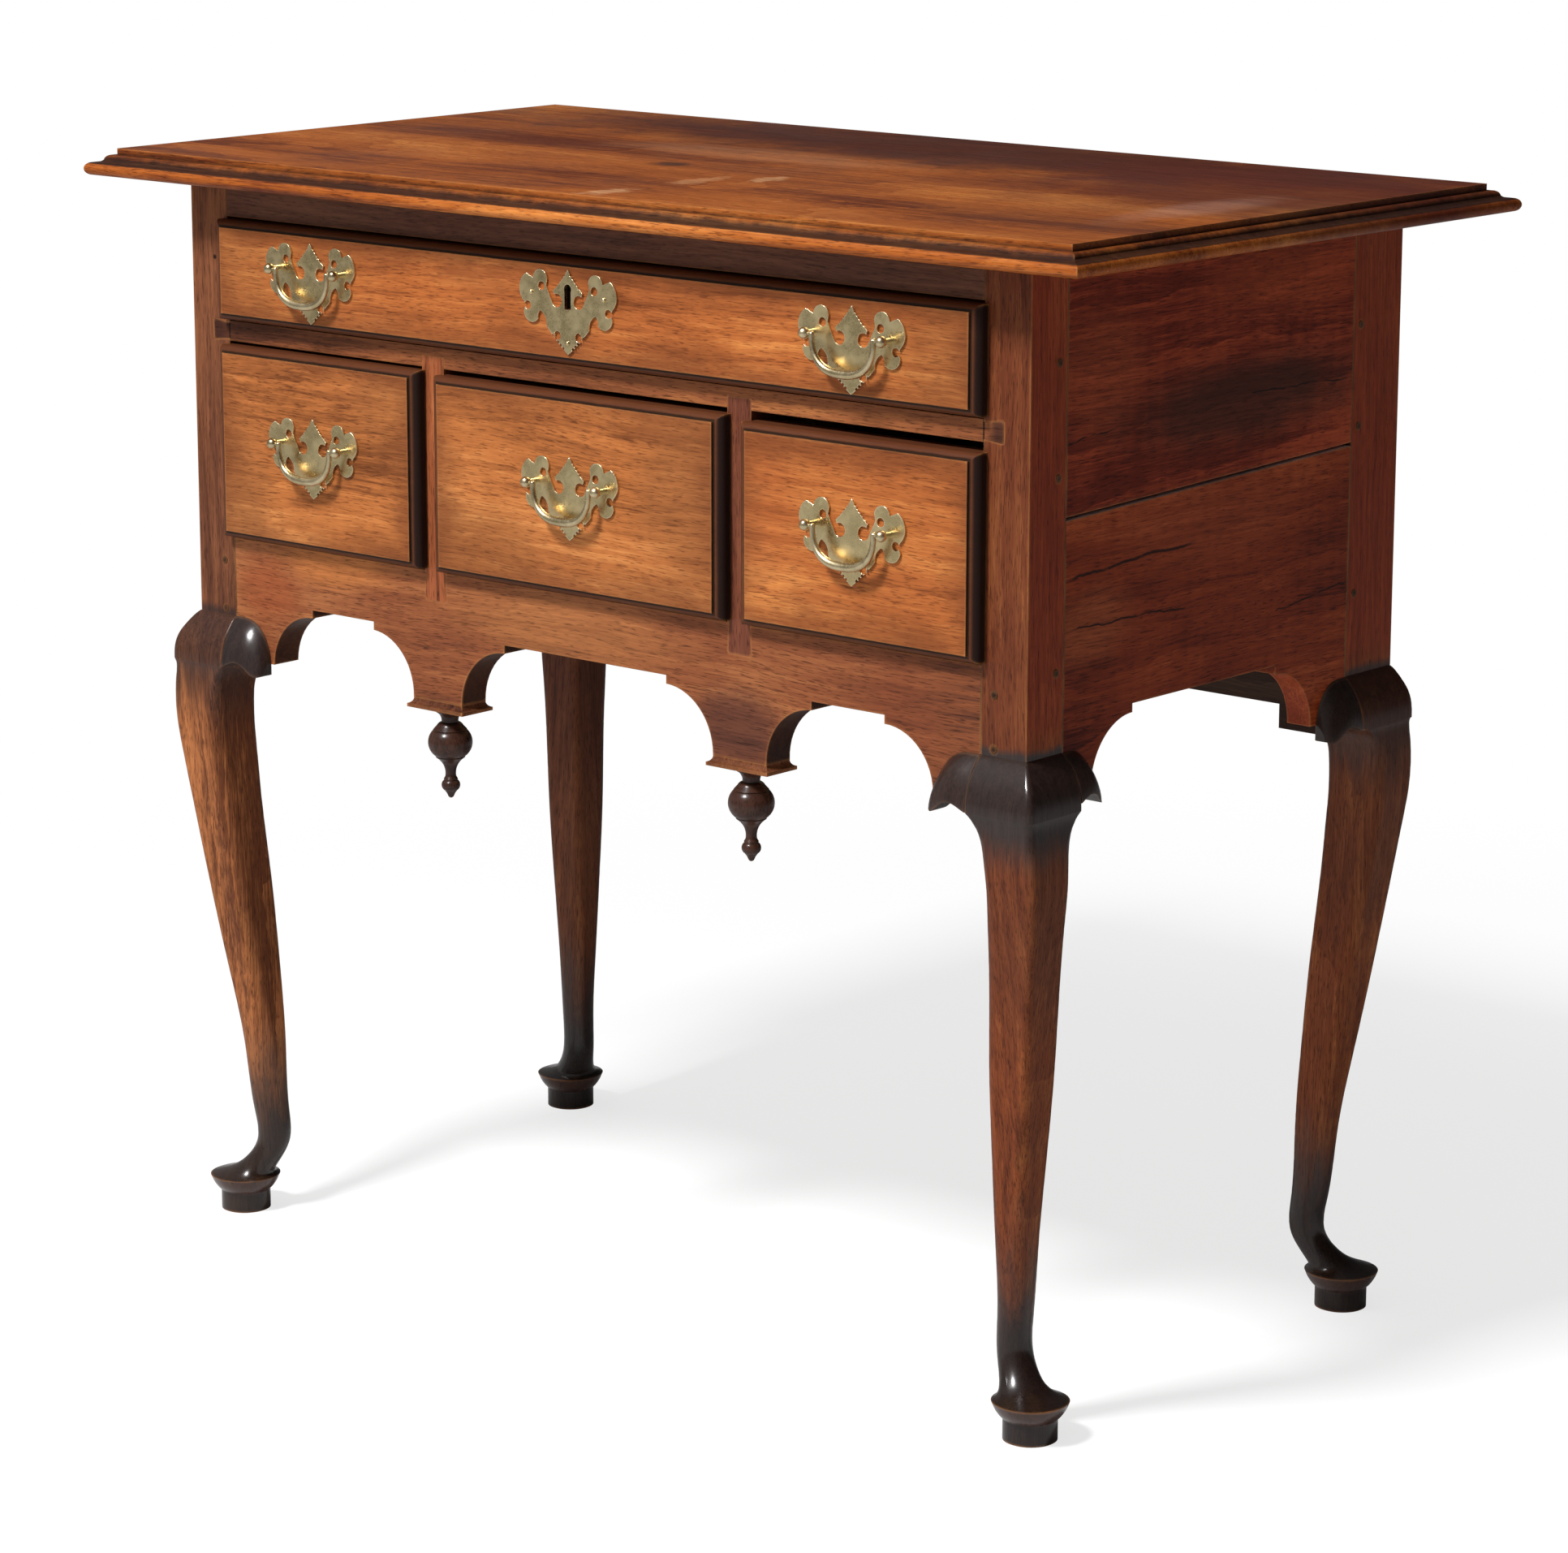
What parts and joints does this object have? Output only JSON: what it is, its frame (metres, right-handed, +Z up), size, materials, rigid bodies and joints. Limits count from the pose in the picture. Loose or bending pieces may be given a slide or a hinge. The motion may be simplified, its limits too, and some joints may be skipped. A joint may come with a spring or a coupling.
{
  "type": "lowboy dressing table",
  "caption": "Lowboy dressing table on cabriole legs with pad feet: moulded top, lipped drawers with brass bail handles, shaped apron with turned drops.",
  "frame": {"origin": "on the floor under the middle of the case", "axes": "+X to the right seen from the front, +Y to the back, +Z up; the drawers open towards -Y"},
  "size_m": [0.836, 0.455, 0.737],
  "materials": {
    "walnut_top": "aged waxed walnut",
    "walnut_legs": "aged walnut, dark in the hollows",
    "walnut_sides": "aged walnut",
    "walnut_frame": "aged walnut",
    "walnut_drops": "dark turned walnut",
    "secondary_wood": "unfinished old pine",
    "oak_pegs": "dark end grain",
    "walnut_drawers": "figured walnut",
    "brass": "old polished brass",
    "iron": "old iron"
  },
  "bodies": {
    "case": {"top_board": "walnut_top", "front_left_leg": "walnut_legs", "front_right_leg": "walnut_legs", "rear_left_leg": "walnut_legs", "rear_right_leg": "walnut_legs", "front_knee_blocks": "walnut_legs", "rear_knee_blocks": "walnut_legs", "left_side_upper_board": "walnut_sides", "left_side_lower_board": "walnut_sides", "right_side_upper_board": "walnut_sides", "right_side_lower_board": "walnut_sides", "top_rail": "walnut_frame", "drawer_divider": "walnut_frame", "left_partition": "walnut_frame", "right_partition": "walnut_frame", "front_apron": "walnut_frame", "left_drop": "walnut_drops", "right_drop": "walnut_drops", "drop_plinths": "walnut_drops", "back_board": "secondary_wood", "upper_runners": "secondary_wood", "lower_runners": "secondary_wood", "center_runners": "secondary_wood", "frame_pegs": "oak_pegs"},
    "long_drawer": {"long_drawer_front": "walnut_drawers", "long_drawer_left_side": "secondary_wood", "long_drawer_right_side": "secondary_wood", "long_drawer_back": "secondary_wood", "long_drawer_bottom": "secondary_wood", "long_drawer_plates": "brass", "long_drawer_handle_posts": "brass", "escutcheon": "brass", "lock_case": "iron"},
    "long_drawer_left_bail": {"long_drawer_left_bail": "brass"},
    "long_drawer_right_bail": {"long_drawer_right_bail": "brass"},
    "left_drawer": {"left_drawer_front": "walnut_drawers", "left_drawer_left_side": "secondary_wood", "left_drawer_right_side": "secondary_wood", "left_drawer_back": "secondary_wood", "left_drawer_bottom": "secondary_wood", "left_drawer_plate": "brass", "left_drawer_handle_posts": "brass"},
    "left_drawer_bail": {"left_drawer_bail": "brass"},
    "center_drawer": {"center_drawer_front": "walnut_drawers", "center_drawer_left_side": "secondary_wood", "center_drawer_right_side": "secondary_wood", "center_drawer_back": "secondary_wood", "center_drawer_bottom": "secondary_wood", "center_drawer_plate": "brass", "center_drawer_handle_posts": "brass"},
    "center_drawer_bail": {"center_drawer_bail": "brass"},
    "right_drawer": {"right_drawer_front": "walnut_drawers", "right_drawer_left_side": "secondary_wood", "right_drawer_right_side": "secondary_wood", "right_drawer_back": "secondary_wood", "right_drawer_bottom": "secondary_wood", "right_drawer_plate": "brass", "right_drawer_handle_posts": "brass"},
    "right_drawer_bail": {"right_drawer_bail": "brass"},
    "lock_bolt": {"lock_bolt": "iron"}
  },
  "joints": [
    {"name": "long_drawer_slide", "type": "slide", "parent": "case", "child": "long_drawer", "axis": [0, -1, 0], "range_m": [0, 0.27]},
    {"name": "long_drawer_left_bail_swing", "type": "hinge", "parent": "long_drawer", "child": "long_drawer_left_bail", "pos_m": [-0.23, -0.2089, 0.66818], "axis": [-1, 0, 0], "range_deg": [0, 150]},
    {"name": "long_drawer_right_bail_swing", "type": "hinge", "parent": "long_drawer", "child": "long_drawer_right_bail", "pos_m": [0.23, -0.2089, 0.66818], "axis": [-1, 0, 0], "range_deg": [0, 150]},
    {"name": "left_drawer_slide", "type": "slide", "parent": "case", "child": "left_drawer", "axis": [0, -1, 0], "range_m": [0, 0.27]},
    {"name": "left_drawer_bail_swing", "type": "hinge", "parent": "left_drawer", "child": "left_drawer_bail", "pos_m": [-0.23087, -0.2089, 0.55298], "axis": [-1, 0, 0], "range_deg": [0, 150]},
    {"name": "center_drawer_slide", "type": "slide", "parent": "case", "child": "center_drawer", "axis": [0, -1, 0], "range_m": [0, 0.27]},
    {"name": "center_drawer_bail_swing", "type": "hinge", "parent": "center_drawer", "child": "center_drawer_bail", "pos_m": [0, -0.2089, 0.55298], "axis": [-1, 0, 0], "range_deg": [0, 150]},
    {"name": "right_drawer_slide", "type": "slide", "parent": "case", "child": "right_drawer", "axis": [0, -1, 0], "range_m": [0, 0.27]},
    {"name": "right_drawer_bail_swing", "type": "hinge", "parent": "right_drawer", "child": "right_drawer_bail", "pos_m": [0.23087, -0.2089, 0.55298], "axis": [-1, 0, 0], "range_deg": [0, 150]},
    {"name": "lock_bolt_slide", "type": "slide", "parent": "long_drawer", "child": "lock_bolt", "axis": [0, 0, 1], "range_m": [0, 0.008]}
  ]
}
